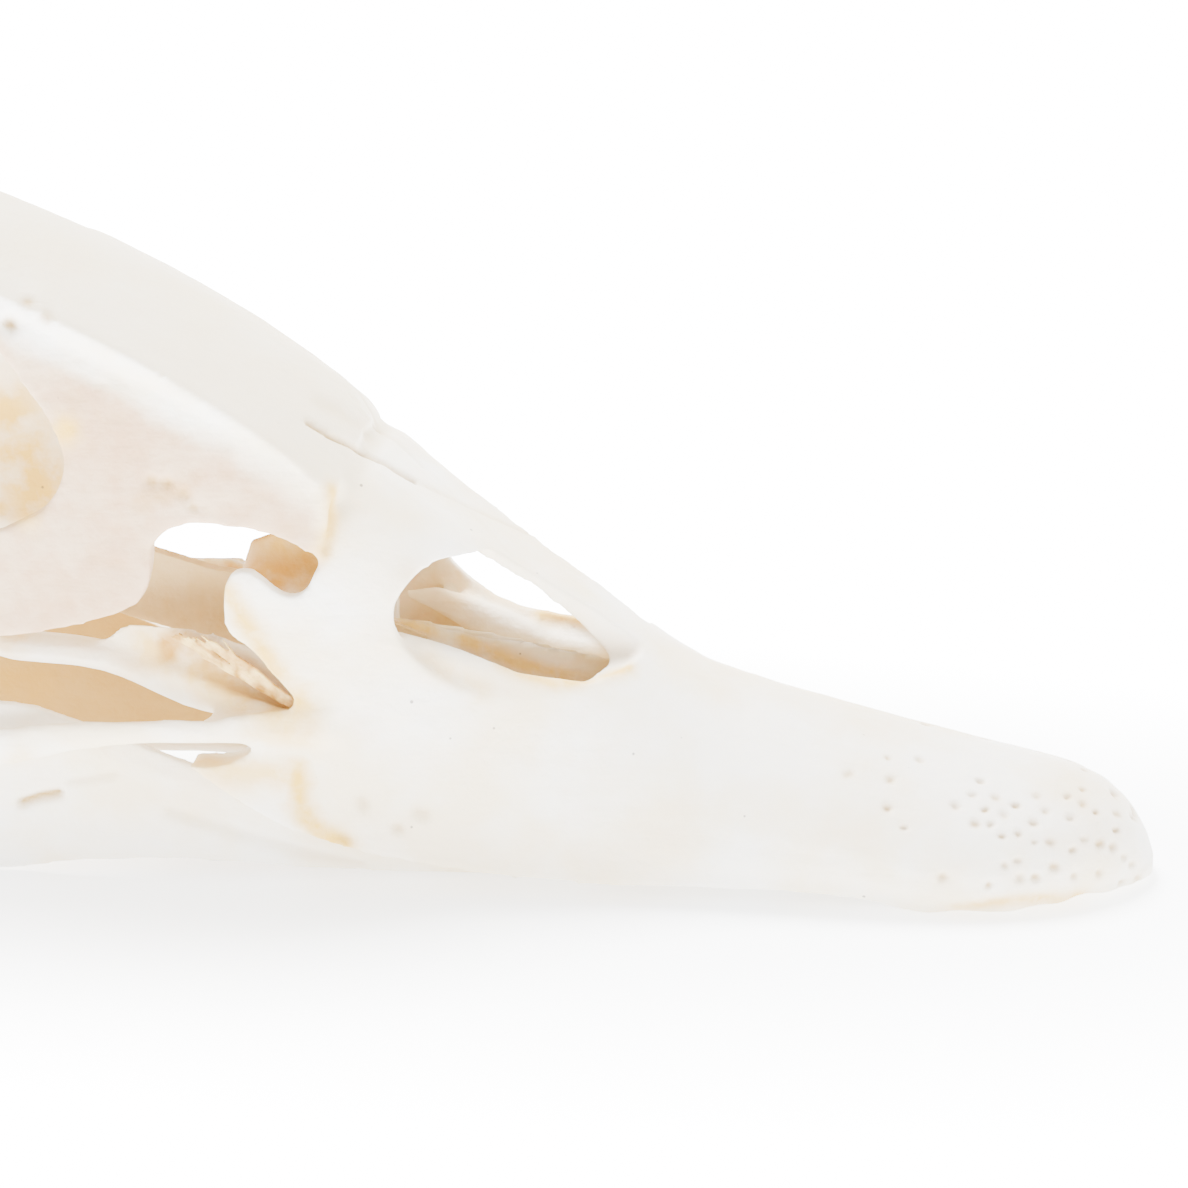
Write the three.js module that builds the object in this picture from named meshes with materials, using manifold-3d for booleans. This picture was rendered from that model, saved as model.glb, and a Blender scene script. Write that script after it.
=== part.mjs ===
// Skull of a duck, life size, resting on a flat surface with its jaws closed.
// Millimetres. x runs forward to the tip of the bill, y to the animal's left and z up.
// The skull is shaped as lofts, rods and shells, and then parted into its bones.
import * as THREE from 'three';
import { LoftGeometry } from 'three/addons/geometries/LoftGeometry.js';
import { mergeVertices } from 'three/addons/utils/BufferGeometryUtils.js';
import Module from 'manifold-3d';

const wasm = await Module();
wasm.setup();

// Driving sizes
const billTip = 62;
const hingeTop = { x: 4.4, z: 34 };
const hingeFoot = { x: 2.3, z: 25.2 };
const skullBack = -62;
const brainBack = -60;
const brainFront = -32;
const roofBack = -50;
const roofFront = 4.2;
const suture = 0.3;
const half = suture / 2;
const billWall = 1.4;
const palateThickness = 1.3;
const roofThickness = 2.8;
const premaxillaHalfWidth = 2.4;
const nasalFront = 17;
const nasalFoot = 16;
const maxillaFront = 24.5;
const frontalBack = -35.5;
const beyond = 80;

// Side view of the bill: ridge along its top, cutting edge and roof of the mouth
const culmen = profile([[-9, 35], [4.2, 31], [9, 27.6], [13.4, 24.6], [20.8, 19.8], [28, 14.9],
  [35.7, 12.4], [43, 10.4], [50.5, 8.7], [55, 7.9], [58.4, 6.7], [60.4, 4.9], [61.6, 2.8], [62, 1.6]]);
const tomium = profile([[-8, 10.1], [-3.7, 7.1], [0.6, 4.9], [7.8, 2.9], [15, 1.9], [26, 1.3],
  [38, 1.2], [46.5, 0], [52.5, 0], [56, 0.5], [62, 0.3]]);
const palate = profile([[-9, 13], [0, 12], [10, 9], [20, 7.4], [30, 6], [40, 5.2], [50, 3.9], [57, 2.6]]);

// Plan of the bill and how square its cross-section is
const billHalfWidth = profile([[-9, 13.1], [0, 12.8], [8, 12], [15, 11.5], [22, 11], [30, 10.7],
  [38, 10.8], [45, 11], [50, 10.4], [55, 8.5], [59, 5.6], [61, 3.2], [62, 1.2]]);
const billSquareness = profile([[-9, 4.6], [4, 4.4], [9, 4], [15, 3.8], [22, 2.8], [32, 2.15], [62, 2.3]]);
const billLean = profile([[-9, 0.1], [4, 0.14], [9, 0.22], [20, 0.26], [32, 0.08], [42, 0]]);
const rimCurl = profile([[24, 0], [40, 0.1], [46, 0.15], [62, 0.15]]);
const strapHalfWidth = profile([[6, 4.6], [11, 3.9], [17, 3.1], [22, 2.4], [27, 1.8]]);
const billRoof = profile([[2, 2], [8, 1.1], [18, 1.1], [25, 2]]);

// Side view of the roof of the skull along its middle and along its side ridges
const roofMiddle = profile([[-64, 33], [-59, 41.5], [-54, 47], [-47, 50.8], [-40, 52], [-34, 51.2],
  [-27, 49.2], [-20, 46.4], [-14, 43.5], [-5, 38.4], [1.5, 34.5], [3, 33.1], [4.2, 31.3]]);
const roofRidge = profile([[-64, 26], [-54, 41], [-47, 46], [-40, 47.8], [-34, 47.4], [-27, 46.2],
  [-20.4, 43.7], [-11.2, 39.6], [-2.8, 34.5], [1.5, 31.1], [3, 29.4], [4.2, 27.6]]);
const roofHalfWidth = profile([[-50, 5], [-43, 9], [-38, 10.6], [-34, 9.4], [-28, 8.2],
  [-22, 9.7], [-14, 10.1], [4.6, 9.6]]);
const roofDepth = profile([[-64, 9], [-38, 9], [-33, 6], [-27, roofThickness + 0.4],
  [-16, roofThickness], [4.6, roofThickness]]);

// Braincase, its hollow, and the orbits
const brainHalfWidth = profile([[-60, 7], [-59, 9.6], [-56.5, 12.2], [-53, 14.1], [-47, 15.3], [-41, 15.4],
  [-37, 14.2], [-34, 11.4], [-32, 7.5]]);
const brainBase = profile([[-60, 28.4], [-58.6, 24.8], [-56, 21.9], [-52, 19.6], [-46, 18.2], [-40, 19],
  [-36, 22.5], [-33.4, 27], [-32, 31]]);
const brainHollow = { centre: [-47.2, 0, 36.2], radii: [11.6, 12.2, 12.4] };
const skullFloor = { centre: [-45.5, 0, 21.2], radii: [8.5, 8, 3.4] };
const orbit = { centre: [-26.4, 15.6, 34.6], radii: [9.8, 12.4, 11.6] };

// A smooth curve through stations [along, value] that never overshoots them
function profile(stations) {
  const step = (i) => stations[i + 1][0] - stations[i][0];
  const slope = (i) => (stations[i + 1][1] - stations[i][1]) / step(i);
  const last = stations.length - 1;
  const tangents = stations.map((station, i) => {
    if (i === 0) return slope(0);
    if (i === last) return slope(last - 1);
    const before = slope(i - 1);
    const after = slope(i);
    return before * after <= 0 ? 0 : (2 * before * after) / (before + after);
  });
  return (along) => {
    if (along <= stations[0][0]) return stations[0][1];
    if (along >= stations[last][0]) return stations[last][1];
    const i = stations.findIndex((station) => station[0] > along) - 1;
    const t = (along - stations[i][0]) / step(i);
    const from = stations[i][1] * (1 + 2 * t) * (1 - t) ** 2 + stations[i + 1][1] * t * t * (3 - 2 * t);
    return from + step(i) * (tangents[i] * t * (1 - t) ** 2 - tangents[i + 1] * t * t * (1 - t));
  };
}

function spread(from, to, steps) {
  return Array.from({ length: steps + 1 }, (_, i) => from + ((to - from) * i) / steps);
}

// A closed solid from a closed geometry
function solid(geometry) {
  const bare = new THREE.BufferGeometry();
  bare.setAttribute('position', geometry.getAttribute('position'));
  bare.setIndex(geometry.getIndex());
  const welded = mergeVertices(bare, 1e-4);
  return new wasm.Manifold(new wasm.Mesh({
    numProp: 3,
    vertProperties: new Float32Array(welded.attributes.position.array),
    triVerts: new Uint32Array(welded.index.array),
  }));
}

function loft(sections) {
  return solid(new LoftGeometry(sections, { capStart: true, capEnd: true }));
}

function joined(solids) {
  return solids.reduce((whole, piece) => whole.add(piece));
}

function largest(whole) {
  const pieces = whole.decompose();
  return pieces.reduce((best, piece) => (piece.volume() > best.volume() ? piece : best));
}

// An arch over a flat base, from the left rim over the top to the right rim
function arch(x, halfWidth, foot, top, { squareness = 2, lean = 0, curl = 0, segments = 18 } = {}) {
  return spread(0, Math.PI, segments).map((angle) => {
    const across = Math.cos(angle);
    const up = Math.max(Math.sin(angle), 0) ** (2 / squareness);
    const out = Math.sign(across) * Math.abs(across) ** (2 / squareness);
    const narrowing = 1 - lean * up - curl * (1 - up) ** 5;
    return new THREE.Vector3(x, halfWidth * out * narrowing, foot + (top - foot) * up);
  });
}

// A rod along a smooth path; each station is [x, y, z, half width, half height]
function rod(stations, { sides = 10, steps = 14, squareness = 2, grow = 0, upward = [0, 0, 1] } = {}) {
  const path = new THREE.CatmullRomCurve3(stations.map(([x, y, z]) => new THREE.Vector3(x, y, z)));
  const widths = profile(stations.map((station, i) => [i, station[3]]));
  const heights = profile(stations.map((station, i) => [i, station[4]]));
  const sections = spread(0, 1, steps).map((t, i) => {
    const forward = path.getTangent(t);
    const reach = i === 0 ? -grow : i === steps ? grow : 0;
    const centre = path.getPoint(t).addScaledVector(forward, reach);
    const sideways = new THREE.Vector3(...upward).cross(forward).normalize();
    const above = forward.clone().cross(sideways);
    const at = t * (stations.length - 1);
    return spread(0, 2 * Math.PI, sides).slice(0, sides).map((angle) => {
      const c = Math.cos(angle);
      const s = Math.sin(angle);
      const across = (widths(at) + grow) * Math.sign(c) * Math.abs(c) ** (2 / squareness);
      const up = (heights(at) + grow) * Math.sign(s) * Math.abs(s) ** (2 / squareness);
      return centre.clone().addScaledVector(sideways, across).addScaledVector(above, up);
    });
  });
  return loft(sections);
}

function ball({ centre, radii }, { grow = 0, segments = 20, tilt = 0 } = {}) {
  const geometry = new THREE.SphereGeometry(1, segments, Math.round(segments * 0.7));
  geometry.rotateX(Math.PI / 2);
  geometry.scale(...radii.map((radius) => radius + grow));
  geometry.rotateY(tilt);
  geometry.translate(...centre);
  return solid(geometry);
}

// A smooth line through points [x, z]
function smoothed(points, steps, closed = false) {
  const curve = new THREE.CatmullRomCurve3(points.map(([x, z]) => new THREE.Vector3(x, z, 0)), closed,
    'centripetal');
  const line = curve.getSpacedPoints(steps).map((point) => [point.x, point.y]);
  return closed ? line.slice(0, steps) : line;
}

// A prism of a side view outline [x, z], reaching from y = from to y = to
function sideCut(outline, from, to) {
  const shape = new THREE.Shape(outline.map(([x, z]) => new THREE.Vector2(x, z)));
  const prism = new THREE.ExtrudeGeometry(shape, { depth: to - from, bevelEnabled: false });
  prism.rotateX(Math.PI / 2);
  prism.translate(0, to, 0);
  return solid(prism);
}

function block(x0, x1, y0, y1, z0, z1) {
  const box = new THREE.BoxGeometry(x1 - x0, y1 - y0, z1 - z0);
  box.translate((x0 + x1) / 2, (y0 + y1) / 2, (z0 + z1) / 2);
  return solid(box);
}

// A standing sheet on the right side: face(x, z) is how far out its outer face is, wall(x, z) how thick
function sheet(xs, zs, face, wall, grow = 0) {
  const sections = xs.map((x) => {
    const outer = zs.map((z) => new THREE.Vector3(x, -face(x, z) - grow, z));
    const inner = zs.map((z) => new THREE.Vector3(x, -face(x, z) + wall(x, z) + grow, z));
    return [...inner, ...outer.reverse()];
  });
  return loft(sections);
}

// Braincase, as rings from the back of the head to the wall behind the orbits
function brainForm(grow = 0, steps = 17, around = 22) {
  return loft(spread(brainBack, brainFront, steps).map((x, i) => {
    const top = Math.min(roofMiddle(x), 40 - (x - brainFront) * 3.4) + grow;
    const base = brainBase(x) - grow;
    const reach = grow * ((2 * i) / steps - 1);
    return spread(0, 2 * Math.PI, around).slice(0, around).map((angle) => new THREE.Vector3(
      x + reach, (brainHalfWidth(x) + grow) * Math.cos(angle),
      (top + base) / 2 + ((top - base) / 2) * Math.sin(angle)));
  }));
}

// Roof of the skull, from the hinge of the bill back over the braincase
function roofForm(from, to, grow = 0, steps = 18) {
  const arcs = 12;
  const section = (x, reach) => {
    const halfWidth = roofHalfWidth(x) + grow;
    const ridge = roofRidge(x);
    const crown = roofMiddle(x) - ridge;
    const topAt = (y) => ridge + crown * (1 - Math.min(Math.abs(y) / roofHalfWidth(x), 1) ** 2);
    const top = spread(halfWidth, -halfWidth, arcs).map((y) => (
      new THREE.Vector3(x + reach, y, topAt(y) + grow)));
    const under = spread(-halfWidth, halfWidth, arcs / 2).map((y) => (
      new THREE.Vector3(x + reach, y * 0.96, topAt(y) - roofDepth(x) - grow)));
    return [...top, ...under];
  };
  const sections = spread(from, to, steps).map((x) => section(x, 0));
  return loft(grow ? [section(from, -grow), ...sections, section(to, grow)] : sections);
}

// All that lies ahead of the hinge of the bill, less a gap
function aheadOfHinge(gap) {
  const slope = (hingeTop.x - hingeFoot.x) / (hingeTop.z - hingeFoot.z);
  const xAt = (z) => hingeFoot.x + slope * (z - hingeFoot.z) - gap;
  return sideCut([[xAt(10), 10], [xAt(beyond), beyond], [beyond, beyond], [beyond, 10]], -beyond, beyond);
}

const frontal = () => roofForm(frontalBack + half, roofFront).subtract(orbits())
  .subtract(aheadOfHinge(suture));
const frontalSpace = (gap) => roofForm(frontalBack + half, roofFront, gap);

function orbits() {
  const right = { ...orbit, centre: [orbit.centre[0], -orbit.centre[1], orbit.centre[2]] };
  return ball(orbit, { segments: 20 }).add(ball(right, { segments: 20 }));
}

function braincase() {
  const shell = joined([
    brainForm(),
    roofForm(roofBack, frontalBack - half, 0, 6),
    ball({ centre: [skullBack + 5, 0, 35.2], radii: [5, 4.4, 6.4] }, { segments: 14 }),
    rod([[-52.6, -13.9, 28, 0.5, 0.6], [-54.4, -12.8, 34.6, 0.9, 0.9], [-56.6, -8.6, 40.4, 0.9, 0.9],
      [-58.2, 0, 42.3, 0.8, 0.8], [-56.6, 8.6, 40.4, 0.9, 0.9], [-54.4, 12.8, 34.6, 0.9, 0.9],
      [-52.6, 13.9, 28, 0.5, 0.6]], { upward: [1, 0, 0.4], sides: 6, steps: 18 }),
    ball(skullFloor, { segments: 16 }),
    ball({ centre: [-57.2, 0, 22.6], radii: [2, 2, 1.6] }, { segments: 12 }),
    ...[-1, 1].flatMap((side) => [
      rod([[-41, side * 11.6, 43, 3.4, 5], [-38.4, side * 13.8, 36.5, 2.2, 3.4],
        [-36.6, side * 14.5, 30, 1.4, 2.4], [-33.4, side * 14.2, 24.4, 0.8, 1.2]],
      { upward: [1, 0, 0], sides: 8, steps: 8 }),
      rod([[-47, side * 11.5, 27, 3, 3.5], [-41.5, side * 13.4, 26.6, 2, 2.6],
        [-38, side * 14.2, 25, 0.9, 1.2]],
        { sides: 8, steps: 5 }),
      rod([[-53, side * 9.5, 30, 3.4, 4.5], [-51.5, side * 11.2, 25, 2.6, 3.6],
        [-49.4, side * 11.4, 20.4, 1.4, 2]],
        { upward: [1, 0, 0], sides: 8, steps: 6 }),
    ]),
  ]);
  const hollows = joined([
    ball(brainHollow, { segments: 16 }),
    rod([[-52, 0, 29.4, 4.4, 4.8], [-66, 0, 26, 4.4, 4.8]], { sides: 12, steps: 1 }),
    ...[-1, 1].flatMap((side) => [
      rod([[-50, side * 3, 35, 1.2, 2.2], [-66, side * 6, 34.4, 1.2, 2.2]], { sides: 8, steps: 1 }),
      ball({ centre: [-44, side * 13.5, 22.6], radii: [4.6, 5, 4] }, { segments: 12 }),
      ball({ centre: [-47.4, side * 19, 34.6], radii: [6.6, 5.2, 9] }, { segments: 18, tilt: 0.5 }),
    ]),
  ]);
  const sockets = quadrate(suture);
  return shell.subtract(hollows).subtract(orbits()).subtract(frontalSpace(1.7 * suture))
    .subtract(sockets).subtract(flipped(sockets));
}

// Thin bony wall between the eyes, with the beak-like rod under it and a small wing before each orbit
function septum() {
  const wall = sideCut([[-42, 20], [-30, 21.6], [-13, 23.9], [-11.6, 25.4], [-12.4, 31], [-10.4, 36],
    [-8, 41], [-42, 54]], -0.7, 0.7);
  const opening = sideCut(
    smoothed([[-35.4, 32], [-31, 29.6], [-27.4, 33], [-28.6, 37.6], [-33, 38.6]], 18, true), -4, 4);
  const rostrum = rod([[-44, 0, 20.8, 2.6, 2], [-34, 0, 22.2, 1.8, 1.7], [-20, 0, 24.2, 1.1, 1.1],
    [-11.4, 0, 25.3, 0.6, 0.9]], { sides: 12 });
  const wings = [-1, 1].map((side) => rod(
    [[-13.5, 0, 34.5, 0.6, 3.4], [-14.2, side * 4, 35, 0.55, 2.8], [-14.6, side * 7, 36.4, 0.5, 1.4]],
    { upward: [0, 0, 1], steps: 6 }));
  return joined([wall, rostrum, ...wings]).subtract(opening).subtract(frontalSpace(suture))
    .subtract(braincaseSpace());
}

const braincaseSpace = () => joined([
  brainForm(suture),
  ball(skullFloor, { grow: suture, segments: 16 }),
  roofForm(roofBack, frontalBack, suture, 6),
]);

// Large bone in front of the eye, with the process that reaches back below it
function lacrimal() {
  const face = (x, z) => 9.9 + 0.155 * (roofRidge(x) - z);
  const wall = (x, z) => THREE.MathUtils.clamp(4.6 - 0.34 * (roofRidge(x) - z), 1.7, 4.6);
  const blank = sheet(spread(-34, 6, 16), spread(17, 47, 11), face, wall);
  const ridge = [[4.2, 27.3], [1.5, 30.8], [-2.8, 34.2], [-11.2, 39.2], [-20.4, 43.3], [-25, 45.2]];
  const eyeEdge = smoothed([[-25, 44.4], [-22, 41.2], [-19, 37.4], [-16.2, 32.4], [-17.4, 29], [-22, 26.6],
    [-27, 24.6], [-31.8, 21.8]], 18);
  const underEdge = smoothed([[-31.6, 20.8], [-28, 19.7], [-20.7, 19.4], [-13.6, 20.8], [-10.6, 22.2],
    [-9.9, 24.4], [-9.7, 26.4], [-8.4, 27.5], [-6.3, 27.8], [-3.4, 27.5], [-1.4, 27.1], [0.7, 26.2],
    [2.6, 24.8]], 26);
  const outline = sideCut([...ridge, ...eyeEdge, ...underEdge], -24, 0);
  return blank.intersect(outline).subtract(frontalSpace(1.8 * suture)).subtract(aheadOfHinge(suture));
}

// The whole upper bill, hollow from the rear as far as the front of the nostrils
function bill() {
  const stations = [...spread(-7.6, 44, 20), 46.5, 49.5, 52.5, 54.5, 56.2, 58, 59.4, 60.5, 61.4, billTip];
  const outside = loft(stations.map((x) => arch(x, billHalfWidth(x), tomium(x), culmen(x),
    { squareness: billSquareness(x), lean: billLean(x), curl: rimCurl(x) })));
  const mouth = loft(stations.filter((x) => x <= 56).map((x) => arch(x,
    billHalfWidth(x) * (1 - rimCurl(x)) - billWall, -4, palate(x),
    { squareness: 5, lean: billLean(x) * 0.5, segments: 12 })));
  const cavity = loft(spread(-9, maxillaFront, 14).map((x) => {
    const taper = Math.sqrt(1 - THREE.MathUtils.clamp((x - 15.5) / 10, 0, 1) ** 2);
    const floor = palate(x) + palateThickness;
    const roof = culmen(x) - billRoof(x);
    return arch(x, (billHalfWidth(x) - billWall) * (0.35 + 0.62 * taper), floor,
      floor + (roof - floor) * (0.3 + 0.7 * taper),
      { squareness: billSquareness(x), lean: billLean(x), segments: 14 });
  }));
  const nostrilOutline = [[7.2, 21.6], [7.9, 19], [9.7, 17.2], [12.6, 15.6], [16.2, 15.1], [20.5, 15.4],
    [25.3, 17.4], [23.6, 19.4], [17.8, 22.8], [14.2, 24.2], [11.4, 24.5], [9.2, 24.1]];
  const strap = loft(spread(4, 28, 8).map((x) => arch(x, strapHalfWidth(x), -10, 60, { squareness: 10 })));
  const nostrils = sideCut(smoothed(nostrilOutline, 32, true), -beyond, beyond).subtract(strap);
  const wingEdge = smoothed([[1.1, 14.3], [-1.2, 16.9], [-2.9, 18.9], [-4.4, 20], [-4.8, 21.8], [-4.4, 24.2],
    [-3, 24.6], [-1.4, 23.4], [-0.1, 22.7], [1.1, 23.1], [1.5, 24.2], [hingeFoot.x, hingeFoot.z]], 24);
  const rear = sideCut([[-30, 10], [-6.9, 10.1], [-5.4, 10.9], [0.6, 11.4], ...wingEdge, [hingeTop.x, hingeTop.z],
    [hingeTop.x, beyond], [-30, beyond]], -beyond, beyond);
  const choana = ball({ centre: [0, 0, 12], radii: [9, 3, 5] }, { segments: 14 });
  return outside.subtract(mouth).subtract(cavity).subtract(nostrils).subtract(rear)
    .subtract(choana);
}

// Scroll of bone that rises from the palate inside the nose
const maxillopalatine = () => sideCut([[-5.5, 20.8], [-4.3, 24.4], [-1, 25.8], [2.2, 25], [4.4, 21.6], [5, 17],
  [5, 11], [1.2, 12], [-0.5, 14.5], [-3, 17], [-5.2, 19]], -4.8, -3.6);

const wholeBill = bill();
const processStrip = block(-30, maxillaFront + half, -premaxillaHalfWidth, premaxillaHalfWidth,
  nasalFoot + half, beyond);
const tipBlock = block(maxillaFront + half, beyond, -beyond, beyond, -beyond, beyond);
const nasalBlock = block(-30, nasalFront - half, -beyond, -premaxillaHalfWidth - suture,
  nasalFoot + half, beyond);
const nasalLip = block(nasalFront + half, maxillaFront + 1, -beyond, beyond, nasalFoot + half, beyond);
const maxillaBlock = block(-30, maxillaFront - half, -beyond, -half, -beyond, nasalFoot - half);

const premaxilla = wholeBill.intersect(joined([processStrip, tipBlock, nasalLip]));
const nasal = wholeBill.intersect(nasalBlock);
const maxilla = wholeBill.intersect(maxillaBlock).add(maxillopalatine());

// Long bones of the palate and cheek
const vomer = () => sideCut([[-22, 21.2], [-14.5, 22.4], [-8.3, 20.7], [-2, 19.8], [8, 16.2], [8, 12],
  [1, 13.6], [-8, 14.8], [-15, 16.6], [-22, 19.4]], -0.6, 0.6);
const jugalBar = () => rod([[0.2, -12.4, 12.7, 0.6, 0.95], [-6, -12.8, 12.6, 0.6, 0.95],
  [-12, -13.1, 12.3, 0.6, 0.95], [-17, -13.5, 11.8, 0.65, 1.3], [-21, -13.9, 11, 0.7, 1.55],
  [-27, -14.3, 10.9, 0.7, 1.3], [-32.4, -14.6, 12, 0.8, 1.1]], { steps: 14, sides: 8 });
const palatine = () => rod([[0.3, -6.6, 12.4, 2.2, 0.8], [-7.6, -7, 13, 1.9, 0.9],
  [-14.5, -7, 15.8, 1.7, 1.1], [-22.5, -6.4, 16.4, 2.2, 1], [-27.6, -4.3, 17.9, 0.9, 0.9]], { steps: 14, sides: 8 });
const pterygoid = () => rod([[-28.9, -4.4, 17.8, 0.9, 1.1], [-31, -5.6, 16.6, 1.3, 1.5],
  [-33.2, -8.4, 14.8, 1.5, 1.5]], { steps: 6, sides: 8 });

function quadrate(grow = 0) {
  return joined([
    rod([[-41, -11.4, 25, 2, 2.6], [-38.6, -11.8, 20.6, 1.9, 2.2], [-36.4, -12.2, 16, 2.1, 2.4],
      [-35.6, -12.2, 12.6, 2.7, 2.9]], { upward: [1, 0, 0], grow, steps: 8, sides: 8 }),
    ball({ centre: [-35.6, -11.8, 11.9], radii: [2.4, 3.5, 1.7] }, { grow, segments: 12 }),
    rod([[-37, -11, 18.6, 1.4, 2.4], [-33.6, -8.4, 20, 0.8, 1.8], [-31, -6.4, 20.6, 0.5, 0.8]],
      { grow, steps: 5, sides: 8 }),
    rod([[-36, -12.8, 13.6, 1.5, 1.5], [-33.3, -14.4, 12.3, 1.1, 1.2]], { grow, steps: 2, sides: 8 }),
  ]);
}

// Right half of the lower jaw, from the process behind its joint to the middle of the bill's tip
function mandible() {
  const ramus = rod([[-50.6, -10.8, 17, 0.6, 1], [-47, -11.4, 13.4, 0.9, 2.6], [-41.5, -12, 8.4, 1.3, 4],
    [-35, -12.1, 5, 1.5, 5.1], [-28, -11.6, 6.1, 1.2, 6.3], [-22, -11.1, 6.9, 1.1, 6.9],
    [-15, -10.7, 6.3, 1.1, 5.4], [-8, -10.1, 5.05, 1.1, 3.85], [0, -9.5, 3.4, 1.1, 2.5],
    [10, -8.2, 2.4, 1.1, 1.8], [22, -7.2, 2.1, 1.1, 1.4], [34, -6.5, 2, 1.2, 1.3], [44, -5.1, 1.9, 1.8, 0.8],
    [48, -3.6, 1.8, 2.3, 0.6], [50.2, 0.6, 1.8, 2.6, 0.5]], { sides: 10, steps: 42, squareness: 2.4 });
  const articular = ball({ centre: [-36, -12, 7.6], radii: [4.4, 3.4, 3.2] }, { segments: 12 });
  const innerProcess = rod([[-36, -10.5, 8, 1.6, 1.6], [-37.6, -7.2, 9.4, 0.8, 0.8]], { steps: 3, sides: 8 });
  const floorBlock = block(-beyond, beyond, -beyond, beyond, -beyond, 0);
  const otherSide = block(-beyond, beyond, -half, beyond, -beyond, beyond);
  return joined([ramus, articular, innerProcess]).subtract(quadrate(suture))
    .subtract(floorBlock).subtract(otherSide);
}

// Finish of each kind of bone
const finishes = {
  white: { color: 0xf1eee7, roughness: 0.55, metalness: 0 },
  roof: { color: 0xe6e2d8, roughness: 0.55, metalness: 0 },
  pink: { color: 0xe4d6cb, roughness: 0.7, metalness: 0 },
  tan: { color: 0xe0cdb0, roughness: 0.65, metalness: 0 },
};

function geometryOf(whole) {
  const { vertProperties, triVerts } = largest(whole).getMesh();
  const geometry = new THREE.BufferGeometry();
  geometry.setAttribute('position', new THREE.BufferAttribute(new Float32Array(vertProperties), 3));
  geometry.setIndex(new THREE.BufferAttribute(new Uint32Array(triVerts), 1));
  return geometry;
}

function mirrored(geometry) {
  const copy = geometry.clone().scale(1, -1, 1);
  const index = copy.index.array;
  for (let i = 0; i < index.length; i += 3) [index[i], index[i + 1]] = [index[i + 1], index[i]];
  return copy;
}

function flipped(whole) {
  return solid(mirrored(geometryOf(whole)));
}

const skull = new THREE.Group();

function place(name, geometry, finish) {
  const mesh = new THREE.Mesh(geometry, new THREE.MeshStandardMaterial(finishes[finish]));
  mesh.name = name;
  skull.add(mesh);
}

const single = {
  braincase: [braincase(), 'roof'],
  frontal: [frontal(), 'roof'],
  interorbital_septum: [septum(), 'tan'],
  premaxilla: [premaxilla, 'white'],
  vomer: [vomer(), 'tan'],
};
const paired = {
  lacrimal: [lacrimal(), 'pink'],
  nasal: [nasal, 'white'],
  maxilla: [maxilla, 'white'],
  jugal_bar: [jugalBar(), 'white'],
  palatine: [palatine(), 'tan'],
  pterygoid: [pterygoid(), 'tan'],
  quadrate: [quadrate(), 'white'],
  mandible: [mandible(), 'white'],
};
for (const [name, [form, finish]] of Object.entries(single)) place(name, geometryOf(form), finish);
for (const [name, [form, finish]] of Object.entries(paired)) {
  const right = geometryOf(form);
  place(`${name}_right`, right, finish);
  place(`${name}_left`, mirrored(right), finish);
}

export default skull;
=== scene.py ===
# %% [markdown]
# # The skull of a duck on a white table
# This lesson dresses a imported model of a cleaned duck skull, life size, and lights it as a
# museum would. The imported model is a fixed frame: its bones give every place and size, in
# metres, with x forward along the bill, y to the bird's left and z up from the table. The
# frame is loaded before anything else, and its box is kept so that every moved vertex stays inside it.

# %% Load the frame
import math

import bpy
import numpy as np
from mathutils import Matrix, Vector, noise
from mathutils.bvhtree import BVHTree
from mathutils.kdtree import KDTree


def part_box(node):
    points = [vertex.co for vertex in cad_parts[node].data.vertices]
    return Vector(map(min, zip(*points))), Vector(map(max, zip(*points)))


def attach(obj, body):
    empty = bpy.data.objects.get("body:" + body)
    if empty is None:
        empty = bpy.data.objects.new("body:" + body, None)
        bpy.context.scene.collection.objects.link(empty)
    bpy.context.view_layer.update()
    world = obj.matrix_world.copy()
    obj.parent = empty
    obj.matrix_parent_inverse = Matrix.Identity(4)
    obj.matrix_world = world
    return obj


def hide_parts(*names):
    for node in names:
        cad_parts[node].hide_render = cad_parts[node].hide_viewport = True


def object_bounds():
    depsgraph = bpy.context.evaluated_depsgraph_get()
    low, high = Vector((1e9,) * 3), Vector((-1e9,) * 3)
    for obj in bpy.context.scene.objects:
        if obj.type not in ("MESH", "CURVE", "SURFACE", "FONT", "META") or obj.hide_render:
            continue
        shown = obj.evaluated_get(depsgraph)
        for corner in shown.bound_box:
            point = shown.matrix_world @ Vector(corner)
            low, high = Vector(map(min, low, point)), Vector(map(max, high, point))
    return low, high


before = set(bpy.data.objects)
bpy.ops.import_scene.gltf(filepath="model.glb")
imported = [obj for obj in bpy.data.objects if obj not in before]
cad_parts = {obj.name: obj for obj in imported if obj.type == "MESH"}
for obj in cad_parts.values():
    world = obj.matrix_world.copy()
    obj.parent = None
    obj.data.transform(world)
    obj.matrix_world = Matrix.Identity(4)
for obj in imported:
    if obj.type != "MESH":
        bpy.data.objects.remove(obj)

CAD_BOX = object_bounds()
MM = 0.001
print("bones in the frame:", len(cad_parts))

# %% [markdown]
# ## The camera
# The picture was taken with a long lens from a little above, turned slightly towards the
# bill, and it cuts the back of the head off. A camera in Blender looks down its own -z, so
# a direction vector and `to_track_quat` aim it without any angle being worked out by hand.

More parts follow.
